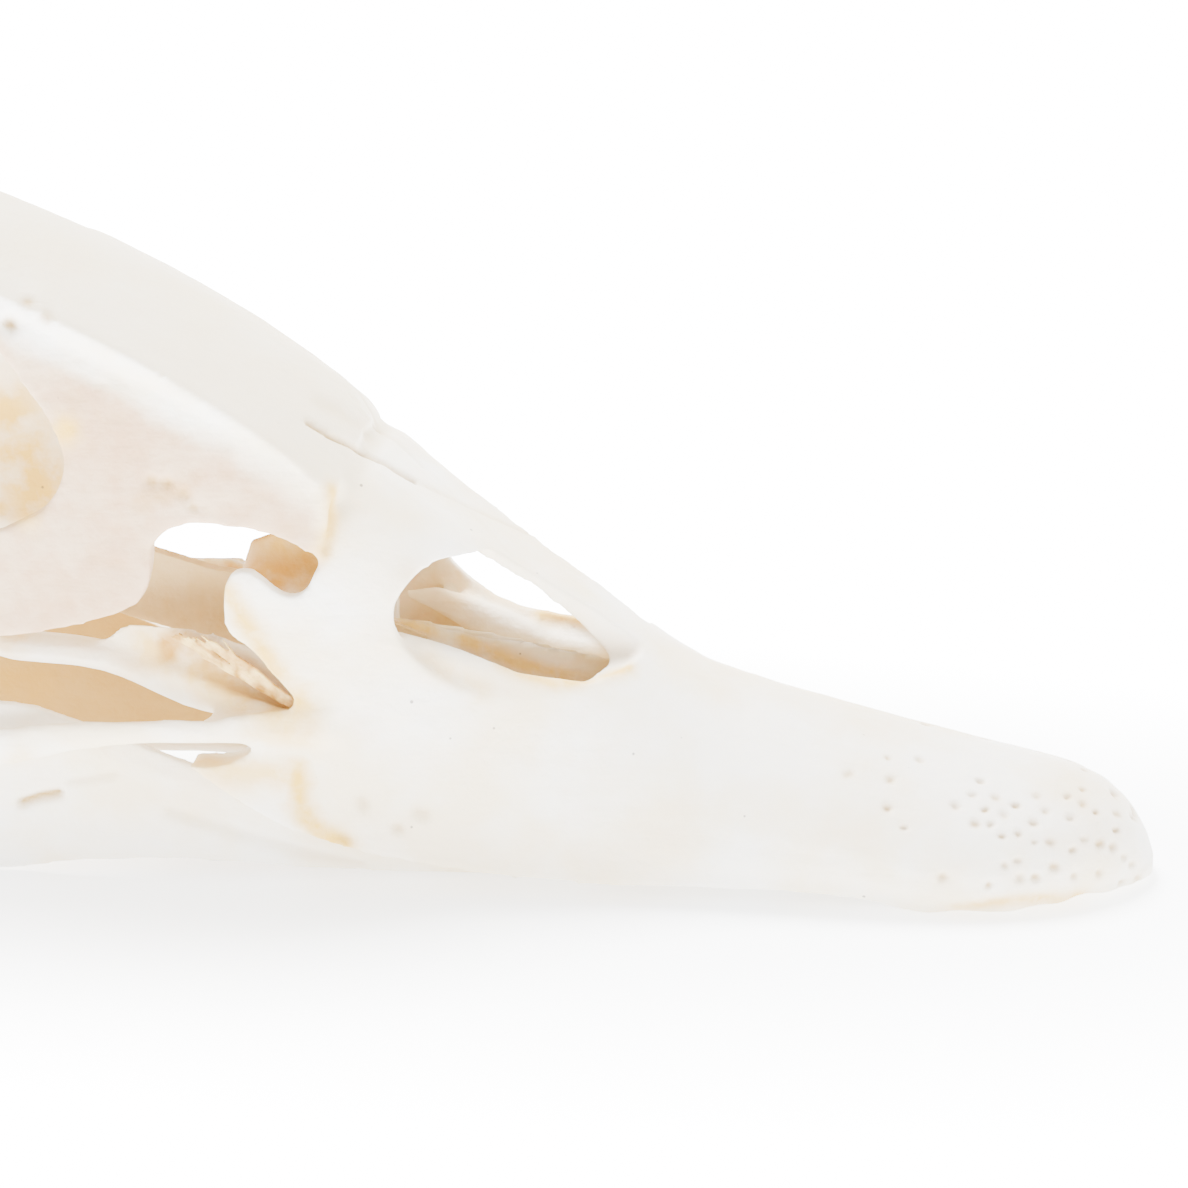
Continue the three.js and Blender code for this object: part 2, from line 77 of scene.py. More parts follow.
# %% Place the camera
AIM = Vector((20.35, 0, 19.9)) * MM
TURN, RISE, REACH = math.radians(8), math.radians(20), 300 * MM
LENS, FILM = 123.64, 36
towards_camera = Vector((math.sin(TURN) * math.cos(RISE), -math.cos(TURN) * math.cos(RISE), math.sin(RISE)))
camera = bpy.data.objects.new("camera", bpy.data.cameras.new("camera"))
camera.data.lens = LENS
camera.data.sensor_width = FILM
camera.data.clip_start = 0.01
camera.location = AIM + REACH * towards_camera
camera.rotation_euler = towards_camera.to_track_quat("Z", "Y").to_euler()
bpy.context.collection.objects.link(camera)
bpy.context.scene.camera = camera
print("camera at", [round(value, 3) for value in camera.location])

# %% [markdown]
# ## From parted bones to grown bone
# The frame parts the skull with thin straight cuts, but in an old bird the bones of the head
# and of the upper bill have grown into one, with hardly a seam. Sculpting would hide the cuts
# by hand. Here copies of the bones are swollen by a fraction of a millimetre so that they
# meet, made one skin by a voxel remesh, and then shrunk by as much again. The remesh also
# rounds every edge, as real bone is rounded.

# %% Helpers that select, weld and apply
def only(*things):
    bpy.ops.object.select_all(action="DESELECT")
    for thing in things:
        thing.select_set(True)
    bpy.context.view_layer.objects.active = things[0]


def weld(piece, distance=1e-6):
    only(piece)
    bpy.ops.object.mode_set(mode="EDIT")
    bpy.ops.mesh.select_all(action="SELECT")
    bpy.ops.mesh.remove_doubles(threshold=distance)
    bpy.ops.object.mode_set(mode="OBJECT")


def apply_modifier(piece, kind, **settings):
    only(piece)
    modifier = piece.modifiers.new(kind.title(), kind)
    for key, value in settings.items():
        setattr(modifier, key, value)
    bpy.ops.object.modifier_apply(modifier=modifier.name)


def copy_bone(bone):
    copied = bpy.data.objects.new(bone + "_copy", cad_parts[bone].data.copy())
    bpy.context.collection.objects.link(copied)
    copied.data.materials.clear()
    weld(copied)
    return copied


# %% Grow bones and fillets into one skin
SWELL = 0.22 * MM


def file_down(copied):
    """Lets light pass under the cheek bar and through the window before the eye."""
    flange_end, flange_top, flange_rise, plate_edge = -2.6, 9.9, 0.9, -2.4
    for vertex in copied.data.vertices:
        x, y, z = [value / MM for value in vertex.co]
        limit = flange_top + flange_rise * min(max((x + 5.6) / 3, 0), 1)
        if x < flange_end and limit < z < 11.6:
            vertex.co.z = limit * MM
        if x < plate_edge and 0 < y < 5.2 and z > 20.4:
            vertex.co.x = plate_edge * MM


def grow_together(name, bones, grid, smoothing=6, fillets=()):
    copies = [copy_bone(bone) for bone in bones]
    for copied in copies:
        if copied.name.startswith("maxilla"):
            file_down(copied)
    for copied in copies:
        apply_modifier(copied, "DISPLACE", strength=SWELL, mid_level=0)
    only(*copies, *fillets)
    bpy.ops.object.join()
    piece = bpy.context.active_object
    piece.name = piece.data.name = name
    apply_modifier(piece, "REMESH", mode="VOXEL", voxel_size=grid)
    apply_modifier(piece, "DISPLACE", strength=-SWELL, mid_level=0)
    apply_modifier(piece, "SMOOTH", factor=0.5, iterations=smoothing)
    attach(piece, "root")
    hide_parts(*bones)
    print(name, "has", len(piece.data.polygons), "faces")
    return piece

# %% [markdown]
# ## Fillets where bones have run together
# Where the cheek bar and the palate bone reach the bill there is no joint, only a web of bone,
# and a ledge and a low wall stand inside the nose. Each is a rod of changing thickness. A
# curve with a bevel would make one too, but a circle extruded ring by ring in edit mode lets
# every ring have its own width and height.

# %% A rod extruded ring by ring
def bone_rod(name, stations, sides=12):
    """Stations are (x, y, z, half width, half height) in millimetres, from back to front."""
    bpy.ops.object.select_all(action="DESELECT")
    x, y, z, wide, high = [value * MM for value in stations[0]]
    bpy.ops.mesh.primitive_circle_add(vertices=sides, radius=1, fill_type="NGON", location=(x, y, z),
                                      rotation=(0, math.radians(-90), 0))
    rod = bpy.context.active_object
    rod.name = rod.data.name = name
    rod.scale = (high, wide, 1)
    bpy.ops.object.transform_apply(location=True, rotation=True, scale=True)
    bpy.ops.object.mode_set(mode="EDIT")
    for station in stations[1:]:
        x1, y1, z1, wide1, high1 = [value * MM for value in station]
        bpy.ops.mesh.extrude_region_move(TRANSFORM_OT_translate={"value": (x1 - x, y1 - y, z1 - z)})
        bpy.ops.transform.resize(value=(1, wide1 / wide, high1 / high), center_override=(x1, y1, z1))
        x, y, z, wide, high = x1, y1, z1, wide1, high1
    bpy.ops.mesh.select_all(action="SELECT")
    bpy.ops.mesh.normals_make_consistent(inside=False)
    bpy.ops.object.mode_set(mode="OBJECT")
    return rod


def on_both_sides(name, stations):
    return [bone_rod(f"{name}_{side}", [(x, y * side, z, wide, high) for x, y, z, wide, high in stations])
            for side in (1, -1)]


CHEEK_WEB = [(-8, -13, 12.6, 0.2, 0.3), (-4.5, -12.7, 12.9, 0.8, 1.2), (-1.5, -12.3, 13, 0.9, 1.6),
             (3, -12, 13, 0.7, 1.6)]
PALATE_WEB = [(-15, -7.4, 15.6, 0.3, 0.3), (-11, -7.9, 15.1, 0.9, 1.1), (-8, -8.6, 14.5, 1, 1.4),
              (-4.5, -9.7, 13.5, 1.2, 1.3), (-1, -10.8, 12.9, 1.4, 1.2), (3.5, -11.2, 12.4, 1.3, 1.2)]
CROSS_WEB = [(-7, -11.2, 12.7, 0.2, 0.2), (-6.2, -11.2, 12.8, 1, 0.5), (-5, -11.2, 12.9, 2, 0.8),
             (-2, -11.2, 12.9, 2.2, 1.1), (2, -11.4, 12.6, 1.8, 1.3)]
INNER_PLATE = [(-16, -7.2, 16.6, 0.15, 0.5), (-13.5, -7.4, 17.2, 0.3, 1.5), (-11, -7.6, 17.2, 0.35, 1.8),
               (-8.5, -7.8, 17.2, 0.35, 1.8), (-6, -8.2, 16.9, 0.35, 1.8), (-3, -8.6, 16, 0.35, 1.9),
               (0, -9, 14.8, 0.4, 1.6), (2.5, -9.2, 13.9, 0.4, 1.1)]
NOSE_LEDGE = [(4.5, -8.3, 18.4, 0.3, 0.5), (7.2, -7.9, 18.2, 0.9, 1.3), (9.4, -7.8, 17.3, 1.2, 1.6),
              (12.3, -7.7, 16.1, 1.4, 1.9), (15.9, -7.6, 14.8, 1.5, 1.7), (20, -7, 14.3, 1.4, 1.6),
              (22.5, -6, 14.2, 0.7, 1)]
NOSE_WALL = [(2.5, 0, 15, 0.5, 3), (8, 0, 13.6, 0.5, 3.8), (16, 0, 12.6, 0.5, 3.6), (23, 0, 12, 0.6, 3)]
fillets = [rod for name, stations in [("cheek_web", CHEEK_WEB), ("palate_web", PALATE_WEB),
                                      ("cross_web", CROSS_WEB), ("inner_plate", INNER_PLATE)]
           for rod in on_both_sides(name, stations)]
fillets.append(bone_rod("nose_wall", NOSE_WALL))
fillets.append(bone_rod("nose_ledge_right", NOSE_LEDGE))
LEFT_LEDGE = [(x, -y, z - 2.2, wide, high) for x, y, z, wide, high in NOSE_LEDGE]
fillets.append(bone_rod("nose_ledge_left", LEFT_LEDGE))
print("fillets:", len(fillets))

# %% [markdown]
# ## The skull without its jaw
# Roof, braincase, the bones before the eyes, the bill, the cheek bars and the palate bones are
# one bone in an adult bird, so they are grown together with the fillets. The grid is fine
# enough for the rim of a nostril, and a decimate afterwards takes faces away where it is flat.

# %% Grow the skull
skull = grow_together("skull", ["braincase", "frontal", "interorbital_septum", "lacrimal_right",
                                "lacrimal_left", "premaxilla", "nasal_right", "nasal_left",
                                "maxilla_right", "maxilla_left", "jugal_bar_right", "jugal_bar_left",
                                "palatine_right", "palatine_left"],
                      grid=0.34 * MM, smoothing=7, fillets=fillets)

# %% [markdown]
# ## The bones that stay loose
# The two halves of the lower jaw have met at the tip, but the jaw only hangs from the skull.
# The links between palate and jaw joint, and the thin blade in the middle of the palate, stay
# bones of their own all through life, so each keeps its gap from its neighbours.

# %% Grow the lower jaw and round the loose bones
lower_jaw = grow_together("lower_jaw", ["mandible_right", "mandible_left"], grid=0.3 * MM)
loose_bones = {}
for bone, slot in [("pterygoid", "thin_bone"), ("quadrate", "bill_bone")]:
    for side in ("right", "left"):
        name = f"{bone}_{side}"
        loose_bones[name] = grow_together(name + "_rounded", [name], grid=0.2 * MM, smoothing=5)
loose_bones["vomer"] = grow_together("vomer_rounded", ["vomer"], grid=0.2 * MM, smoothing=4)

# %% [markdown]
# ## What the cleaning left behind
# A little dried gristle still lies in the groove between the wing of the bill and the palate, as
# a fan of strands that run forward and down to one point. Each strand wanders a bit of its own
# way, and the left fan has sunk lower. The remesh melts the strands together where they touch.

# %% Strands of dried gristle
random = np.random.default_rng(7)
FAN_REAR, FAN_FRONT = Vector((-9.6, -8.5, 18.1)), Vector((-5.6, -10, 18.7))
FAN_POINT = Vector((1, -10.8, 13.5))
STRANDS, RINGS, LEFT_SUNK = 15, 6, 3.5


def gristle(side):
    """Side is 1 for the bird's right and -1 for its left."""
    strands, lower = [], 0 if side > 0 else LEFT_SUNK
    for strand in range(STRANDS):
        start = FAN_REAR.lerp(FAN_FRONT, strand / (STRANDS - 1))
        start.z += random.uniform(-0.4, 0.3)
        stations, thick = [], random.uniform(0.06, 0.16)
        for order in range(RINGS):
            x, y, z = start.lerp(FAN_POINT, order / (RINGS - 1)) + Vector(random.normal(0, 0.12, 3))
            radius = 0.06 + thick * math.sin(math.pi * (order + 0.5) / RINGS)
            stations.append((x, side * y, z - lower, radius, radius))
        stations[1:] = sorted(stations[1:])
        strands.append(bone_rod(f"strand_{side}_{strand}", stations, sides=6))
    only(*strands)
    bpy.ops.object.join()
    bundle = bpy.context.active_object
    apply_modifier(bundle, "REMESH", mode="VOXEL", voxel_size=0.1 * MM)
    apply_modifier(bundle, "SMOOTH", factor=0.5, iterations=2)
    bpy.ops.mesh.separate(type="LOOSE")
    *crumbs, bundle = sorted(bpy.context.selected_objects, key=lambda part: len(part.data.vertices))
    for crumb in crumbs:
        bpy.data.objects.remove(crumb)
    bundle.name = bundle.data.name = "gristle_right" if side > 0 else "gristle_left"
    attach(bundle, "root")
    print(bundle.name, "has", len(bundle.data.polygons), "faces")
    return bundle


gristles = [gristle(side) for side in (-1, 1)]

# %% [markdown]
# ## Marks in the bone
# Slits, creases, nerve holes and worn edges are too small for the frame. Painting them only in
# the material would leave the edges flat, so the vertices themselves are pressed in. A mark is
# first laid on the surface by casting rays at it, and every vertex near it then moves along
# its normal, less and less with its distance.

# %% Read and write a mesh as arrays
def read_surface(piece):
    count = len(piece.data.vertices)
    points, normals = np.empty(count * 3), np.empty(count * 3)
    piece.data.vertices.foreach_get("co", points)
    piece.data.vertices.foreach_get("normal", normals)
    return points.reshape(-1, 3) / MM, normals.reshape(-1, 3)


def write_surface(piece, points):
    """Writes the points back, kept inside the frame's box."""
    inside = np.clip(points * MM, np.array(CAD_BOX[0]), np.array(CAD_BOX[1]))
    piece.data.vertices.foreach_set("co", inside.ravel())
    piece.data.update()


def from_line(points, line):
    nearest = np.full(len(points), 1e9)
    for start, end in zip(line[:-1], line[1:]):
        along = end - start
        share = np.clip((points - start) @ along / max(along @ along, 1e-12), 0, 1)
        nearest = np.minimum(nearest, np.linalg.norm(points - start - share[:, None] * along, axis=1))
    return nearest


# %% Follow the camera's line of sight
PICTURE = 1188
FOCUS = PICTURE * LENS / FILM
sideways = Vector((math.cos(TURN), math.sin(TURN), 0))
upwards = towards_camera.cross(sideways)


def seen_at(piece, places):
    """The points of a piece, in millimetres, that the picture shows at (across, down)."""
    line = []
    for across, down in places:
        sight = (sideways * (across - PICTURE / 2) + upwards * (PICTURE / 2 - down)) / FOCUS - towards_camera
        hit, place, *_ = piece.ray_cast(camera.location, sight)
        if hit:
            line.append(np.array(place) / MM)
    return line


def both_sides(piece, line):
    mirrored = [piece.closest_point_on_mesh(Vector((x, -y, z)) * MM)[1] for x, y, z in line]
    return [line, [np.array(place) / MM for place in mirrored]]


# %% [markdown]
# ## Where the bone isn't white
# Old fat stays yellow along thin edges, and the spongy bone before the eye is pinkish. Hollows
# are painted darker and yellower too, partly as painted shade and partly as old fat, and the pink
# before the eye partly stands for shade on that side face. An attribute on the mesh can hold
# such a mask, which follows the surface however the material is baked. Shelter is measured by
# casting a few rays from scattered vertices, and a vertex takes it from those near it that face
# its own way, as a thin wall has two faces.

# %% Measure how sheltered each vertex is, for the painted shade of hollows
def measure_shelter(piece, reach=14, rays=20, samples=9000, neighbours=18):
    points, normals = read_surface(piece)
    chosen = random.choice(len(points), min(samples, len(points)), replace=False)
    tree = BVHTree.FromObject(piece, bpy.context.evaluated_depsgraph_get())
    directions = random.normal(size=(rays, 3))
    directions /= np.linalg.norm(directions, axis=1)[:, None]
    places, values = KDTree(len(chosen)), []
    for order, vertex in enumerate(chosen):
        start = Vector(points[vertex] * MM + normals[vertex] * 0.15 * MM)
        hits = sum(tree.ray_cast(start, Vector(ray if ray @ normals[vertex] > 0 else -ray), reach * MM)[0]
                   is not None for ray in directions)
        places.insert(points[vertex], order)
        values.append(hits / rays)
    places.balance()
    shelter = np.empty(len(points))
    for vertex, point in enumerate(points):
        _, found, gaps = zip(*places.find_n(point, neighbours))
        same_way = np.maximum(normals[chosen[list(found)]] @ normals[vertex], 0.001)
        shelter[vertex] = np.average([values[order] for order in found],
                                     weights=same_way / (np.array(gaps) + 0.2))
    return shelter


def near_bone(points, bone, reach=1.0):
    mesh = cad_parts[bone].data
    tree = BVHTree.FromPolygons([vertex.co for vertex in mesh.vertices],
                                [face.vertices for face in mesh.polygons])
    low, high = [np.array(corner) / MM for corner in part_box(bone)]
    closeness = np.zeros(len(points))
    for vertex in np.flatnonzero(np.all((points > low - reach) & (points < high + reach), axis=1)):
        gap = tree.find_nearest(Vector(points[vertex] * MM), reach * MM)[3]
        if gap is not None:
            closeness[vertex] = 1 - gap / (reach * MM)
    return closeness


def ramp(values, low, high):
    share = np.clip((values - low) / (high - low), 0, 1)
    return share * share * (3 - 2 * share)


def store(piece, name, values):
    attribute = piece.data.attributes.new(name, "FLOAT", "POINT")
    attribute.data.foreach_set("value", np.clip(values, 0, 1).astype(np.float32))


# %% [markdown]
# ## Press the marks in
# The bone before the eye is pitted, a narrow slit runs beside the ridge of the bill where it
# meets the head, the jaw has a long slit and a groove, and the nerve ends of the bill's tip have
# left dozens of shallow pits. A list gives each mark its line in the picture, its width and
# depth in millimetres, and how much colour it holds. The other side gets the same marks.

# %% Marks on the skull
SKULL_MARKS = [
    # places in the picture, width, depth, colour held
    ([(8, 324), (10, 325)], 0.5, 0.9, 0.8),
    ([(27, 302), (29, 303)], 0.4, 0.2, 0.7),
    ([(45, 316), (47, 318)], 0.4, 0.2, 0.6),
    ([(150, 481), (153, 482)], 0.4, 0.4, 0.6),
    ([(166, 483), (168, 484)], 0.4, 0.4, 0.6),
    ([(182, 494), (186, 496)], 0.4, 0.35, 0.5),
    ([(192, 507), (194, 508)], 0.35, 0.3, 0.5),
    ([(348, 500), (362, 506)], 1.1, 0.55, 0.08),
    ([(334, 502), (332, 525), (326, 550)], 0.35, 0.25, 0.3),
    ([(40, 300), (130, 360), (250, 430), (332, 486)], 1.3, -0.22, 0),
    ([(238, 750), (264, 754)], 0.3, 0.4, 0.5),
    ([(342, 838), (346, 840)], 0.4, 0.25, 0.35),
    ([(362, 802), (364, 806)], 0.5, 0.2, 0.4),
    ([(396, 828), (399, 829)], 0.4, 0.3, 0.5),
    ([(418, 812), (424, 814)], 0.5, 0.25, 0.35),
]
# Marks beside the ridge of the bill, fainter on the other side of the ridge.
RIDGE_MARKS = [
    ([(308, 422), (330, 435), (365, 454), (400, 472), (415, 480)], 0.3, 0.5, 0.75),
    ([(415, 480), (470, 507), (530, 535)], 0.22, 0.12, 0.25),
    ([(322, 404), (345, 415), (366, 430)], 1, 0.2, 0.2),
    ([(374, 427), (379, 431)], 0.3, 0.15, 0.6),
]
FAR_SIDE_SHARE = 0.25
TIP_PITS = [(850, 774), (888, 758), (920, 760), (891, 779), (888, 808), (905, 827), (943, 877),
            (956, 806), (974, 795), (976, 824), (982, 781), (1005, 815), (1017, 805), (1019, 834),
            (1019, 860), (1035, 823), (1037, 796), (1046, 811), (1052, 842), (1069, 796), (1072, 818),
            (1086, 839), (1097, 812), (1102, 843), (1114, 846), (1125, 857), (1134, 864), (1100, 874),
            (1075, 876), (1056, 867), (1021, 878), (989, 885)]
while len(TIP_PITS) < 48:
    place = (random.uniform(985, 1140), random.uniform(785, 884))
    if min(math.dist(place, other) for other in TIP_PITS) > 15:
        TIP_PITS.append(place)
SKULL_MARKS += [([(across, down), (across - random.uniform(0.5, 3), down + random.uniform(-1, 1))],
                 random.uniform(0.24, 0.38), random.uniform(0.16, 0.32), random.uniform(0.4, 0.75))
                for across, down in TIP_PITS]


def press(points, normals, lines):
    held = np.zeros(len(points))
    shift = np.zeros(len(points))
    for line, width, depth, colour_held in lines:
        if len(line) > 1:
            low, high = np.min(line, axis=0) - 3 * width, np.max(line, axis=0) + 3 * width
            close = np.flatnonzero(np.all((points > low) & (points < high), axis=1))
            closeness = np.exp(-(from_line(points[close], line) / width) ** 2)
            shift[close] -= depth * closeness
            held[close] = np.maximum(held[close], colour_held * closeness)
    return points + normals * shift[:, None], held


def ripple(points, size, seed):
    """Smooth noise between -1 and 1, with waves of `size` millimetres."""
    return np.array([noise.noise(Vector(point)) for point in points / size + seed * 17.3])


def finer_where(piece, wanted):
    only(piece)
    piece.data.polygons.foreach_set("select", wanted)
    bpy.context.tool_settings.mesh_select_mode = (False, False, True)
    bpy.ops.object.mode_set(mode="EDIT")
    bpy.ops.mesh.subdivide(number_cuts=1, quadcorner="INNERVERT")
    bpy.ops.object.mode_set(mode="OBJECT")


centres = np.array([face.center for face in skull.data.polygons]) / MM
facing = np.array([face.normal for face in skull.data.polygons])
finer_where(skull, (centres[:, 0] > 38) & (facing[:, 2] > -0.1) & (centres[:, 2] > 1))

skull_lines = [(line, width, depth, held) for places, width, depth, held in SKULL_MARKS
               for line in both_sides(skull, seen_at(skull, places))]
for places, width, depth, held in RIDGE_MARKS:
    near, far = both_sides(skull, seen_at(skull, places))
    skull_lines += [(near, width, depth, held), (far, width, depth * FAR_SIDE_SHARE, held * FAR_SIDE_SHARE)]

# %% Roughen the surface and press
points, normals = read_surface(skull)
pitted = np.maximum(near_bone(points, "lacrimal_right", 1.2), near_bone(points, "lacrimal_left", 1.2))
hollows = ramp(ripple(points, 1.3, 1), 0.05, 0.6) * ramp(pitted, 0.1, 0.6)
worn_rim = ramp(points[:, 0], 28, 36) * ramp(-points[:, 2], -2.4, -1)
waves = (0.07 * ripple(points, 3.5, 2) + 0.025 * ripple(points, 0.9, 3) - 0.06 * hollows
         + 0.22 * worn_rim * ripple(points, 1.8, 6))
points, skull_held = press(points + normals * waves[:, None], normals, skull_lines)
write_surface(skull, points)
store(skull, "held", np.maximum(skull_held, 0.12 * hollows))
print("marks on the skull:", len(skull_lines), "with", len(points), "vertices")

# %% Thin the skull's mesh out where it is flat
FACES_AT_MOST = 180000
faces_now = sum(len(face.vertices) - 2 for face in skull.data.polygons)
apply_modifier(skull, "DECIMATE", ratio=min(1, FACES_AT_MOST / faces_now))
write_surface(skull, read_surface(skull)[0])
print("triangles on the skull:", sum(len(face.vertices) - 2 for face in skull.data.polygons))

# %% Marks on the jaw
JAW_MARKS = [
    ([(22, 803), (40, 797), (58, 794)], 0.35, 0.6, 0.9),
    ([(70, 782), (115, 775)], 0.3, 0.2, 0.2),
    ([(170, 812), (240, 835), (300, 852), (360, 866), (440, 880)], 0.5, 0.45, 0.15),
    ([(230, 862), (320, 870), (420, 886)], 0.4, 0.25, 0.1),
]
jaw_lines = [(line, width, depth, held) for places, width, depth, held in JAW_MARKS
             for line in both_sides(lower_jaw, seen_at(lower_jaw, places))]
points, normals = read_surface(lower_jaw)
waves = 0.06 * ripple(points, 3.5, 4) + 0.02 * ripple(points, 0.9, 5)
points, jaw_held = press(points + normals * waves[:, None], normals, jaw_lines)
write_surface(lower_jaw, points)
store(lower_jaw, "held", jaw_held)
print("marks on the jaw:", len(jaw_lines))

# %% [markdown]
# ## Masks for the colours
# Each bone's own place in the frame says where the pink, spongy bone before the eye begins and
# where the grey-white roof lies. The pink also stands for painted shade on that side face, and
# the grey-white is laid on the roof only where it faces up, so it is partly painted shade too.
# The masks are soft, because bone has no painted borders.

# %% Stains and painted shade seen in the picture
STAINS = [
    # mask, places in the picture, radius in millimetres, strength
    # Yellow fat along edges, at the rear wing and in the eye socket.
    ("fat", [(205, 762), (240, 772), (285, 775)], 1.5, 0.55),
    ("fat", [(297, 768), (299, 808), (320, 831), (343, 845)], 0.8, 0.9),
    ("fat", [(333, 492), (330, 520), (324, 552)], 0.7, 0.7),
    ("fat", [(2, 508), (30, 516), (52, 470), (66, 430)], 0.9, 0.8),
    ("fat", [(245, 530), (275, 540), (303, 550)], 1.6, 0.95),
    ("fat", [(110, 625), (180, 652), (250, 695), (300, 722)], 1.2, 0.5),
    ("fat", [(226, 592), (262, 650), (302, 708)], 0.8, 0.75),
    ("fat", [(170, 744), (205, 746)], 0.5, 0.6),
    ("fat", [(505, 668), (560, 683), (628, 668)], 0.7, 0.8),
    ("fat", [(402, 632), (430, 662), (480, 690)], 1.2, 0.35),
    ("fat", [(250, 735), (300, 740)], 1.2, 0.35),
    ("fat", [(12, 640), (60, 632), (110, 630), (180, 640)], 1.3, 0.5),
    ("fat", [(150, 645), (220, 682), (290, 722)], 2, 0.6),
    ("fat", [(4, 415), (24, 465), (42, 505)], 3.2, 0.9),
    ("fat", [(405, 622), (470, 642), (520, 664), (575, 680)], 0.8, 0.7),
    ("fat", [(680, 893), (760, 898), (850, 904)], 0.5, 0.4),
    ("fat", [(960, 905), (1020, 900), (1080, 894)], 0.6, 0.6),
    # Painted shade, tan, on the plates seen through the window and the nostril.
    ("tan", [(160, 562), (185, 600), (180, 625)], 2.4, 0.5),
    ("tan", [(415, 620), (480, 640), (560, 650), (620, 655)], 1.4, 0.35),
    ("tan", [(408, 575), (440, 595), (480, 612)], 1.2, 0.3),
    ("tan", [(500, 622), (530, 630)], 1, 0.2),
    ("tan", [(256, 545), (275, 560), (300, 565)], 2.2, 0.75),
    # Brown: painted shade in the deepest corners, stain in the pits before the eye and under the rim of the
    # tip.
    ("brown_stain_and_shade", [(262, 575), (285, 578), (303, 572)], 1.5, 1),
    ("brown_stain_and_shade", [(215, 572), (222, 605), (232, 636)], 0.7, 0.9),
    ("brown_stain_and_shade", [(180, 640), (230, 668), (290, 705)], 1, 0.55),
    ("brown_stain_and_shade", [(1092, 893), (1115, 890), (1138, 886)], 0.5, 0.8),
    ("brown_stain_and_shade", [(142, 503), (168, 494), (194, 480)], 0.7, 0.3),
    # A green tinge on the edge of the palate.
    ("green", [(113, 674), (138, 680)], 0.5, 0.6),
]
JAW_STAINS = [("fat", [(8, 680), (35, 684)], 1.6, 0.9)]


def spread_stains(piece, points, stains):
    masks = {kind: np.zeros(len(points)) for kind in ("fat", "tan", "brown_stain_and_shade", "green")}
    for kind, places, radius, strength in stains:
        for line in both_sides(piece, seen_at(piece, places)):
            if len(line) > 1:
                closeness = strength * np.exp(-(from_line(points, line) / radius) ** 2)
                masks[kind] = np.maximum(masks[kind], closeness)
    for kind, mask in masks.items():
        store(piece, kind, mask)


# %% Store the masks
points, normals = read_surface(skull)
near_eye = np.maximum(near_bone(points, "lacrimal_right", 1.6), near_bone(points, "lacrimal_left", 1.6))
roof = np.maximum(near_bone(points, "frontal", 1.6), near_bone(points, "braincase", 1.6))
shelter = measure_shelter(skull)
# Pink before the eye: spongy bone, and partly painted shade on that side face.
store(skull, "spongy", ramp(near_eye - roof, 0.1, 0.75) * ramp(-points[:, 0], -3.6, -1))
# Grey-white roof: partly the roof's own grey, partly painted shade, as it is laid only where the roof faces
# up.
store(skull, "roof", ramp(roof - near_eye, -0.2, 0.6) * ramp(normals[:, 2], 0.1, 0.7))
# Painted shade in hollows, partly old fat as well: the more of its rays are blocked, the darker and yellower
# a vertex is painted.
store(skull, "sheltered", ramp(shelter, 0.45, 0.95))
spread_stains(skull, points, STAINS)
jaw_points, jaw_normals = read_surface(lower_jaw)
jaw_shelter = measure_shelter(lower_jaw, samples=4000)
# Painted shade: the inner face of each half of the jaw, turned towards the other half, is painted as
# sheltered and tan.
inner_face_shade = (ramp(-jaw_normals[:, 1] * np.sign(jaw_points[:, 1]), 0.2, 0.8) * ramp(jaw_points[:, 2], 1, 4)
              * (0.25 + 0.75 * ramp(jaw_points[:, 0], -38, -26)))
store(lower_jaw, "sheltered", np.maximum(ramp(jaw_shelter, 0.5, 0.95), inner_face_shade))
spread_stains(lower_jaw, jaw_points, JAW_STAINS)
# The tan on the jaw is painted shade on its inner face.
lower_jaw.data.attributes["tan"].data.foreach_set("value", (0.85 * inner_face_shade).astype(np.float32))
for name, piece in loose_bones.items():
    # Painted shade on the loose bones: the vomer, deep inside the palate, is painted sheltered and tan, the
    # others a little.
    store(piece, "sheltered", np.full(len(piece.data.vertices), 0.9 if name == "vomer" else 0.4))
    store(piece, "tan", np.full(len(piece.data.vertices), 0.35 if name == "vomer" else 0.05))
print("sheltered part of the skull:", round(float(np.mean(shelter > 0.6)), 2))

# %% [markdown]
# ## Materials
# Every piece is the same stuff: bird bone, boiled, degreased and bleached, which scatters
# light a little under its skin. What varies is how dense it is, how much old fat is left, and
# where shade is painted into its colour.

# %% A function for colours and one for nodes
def colour(value):
    channels = [int(value[i:i + 2], 16) / 255 for i in (1, 3, 5)]
    linear = [c / 12.92 if c <= 0.04045 else ((c + 0.055) / 1.055) ** 2.4 for c in channels]
    return (*linear, 1)


def add_node(material, kind, settings=None, links=None, values=None):
    node = material.node_tree.nodes.new(kind)
    for key, value in (settings or {}).items():
        setattr(node, key, value)
    for key, value in (values or {}).items():
        node.inputs[key].default_value = value
    for key, source in (links or {}).items():
        material.node_tree.links.new(source, node.inputs[key])
    return node


# %% Layers of colour
# Some layers are painted shade: the yellow of hollows, the tan, part of the brown, part of the pink before
# the eye and part of the grey-white roof.
WHITE, IVORY, GREY_WHITE_AND_TOP_SHADE = "#F5F1E8", "#F0E1C4", "#D6C8AC"
PINK_AND_SIDE_SHADE, DULL_RED, FAT_AND_HOLLOW_SHADE, BROWN_FAT_AND_SHADE = "#CAAE8C", "#B28662", "#D4BA7E", "#A8801C"
YELLOW_FAT, TAN_SHADE, BROWN_STAIN_AND_SHADE, GREEN, SOOT = "#DDB44E", "#B68C3E", "#A67410", "#9DB58A", "#5A5248"


def lay_over(material, under, over, share):
    """Lays the colour `over` on `under` as far as the socket `share` says."""
    return add_node(material, "ShaderNodeMix", {"data_type": "RGBA"}, {6: under, 0: share},
                    {7: colour(over)}).outputs[2]


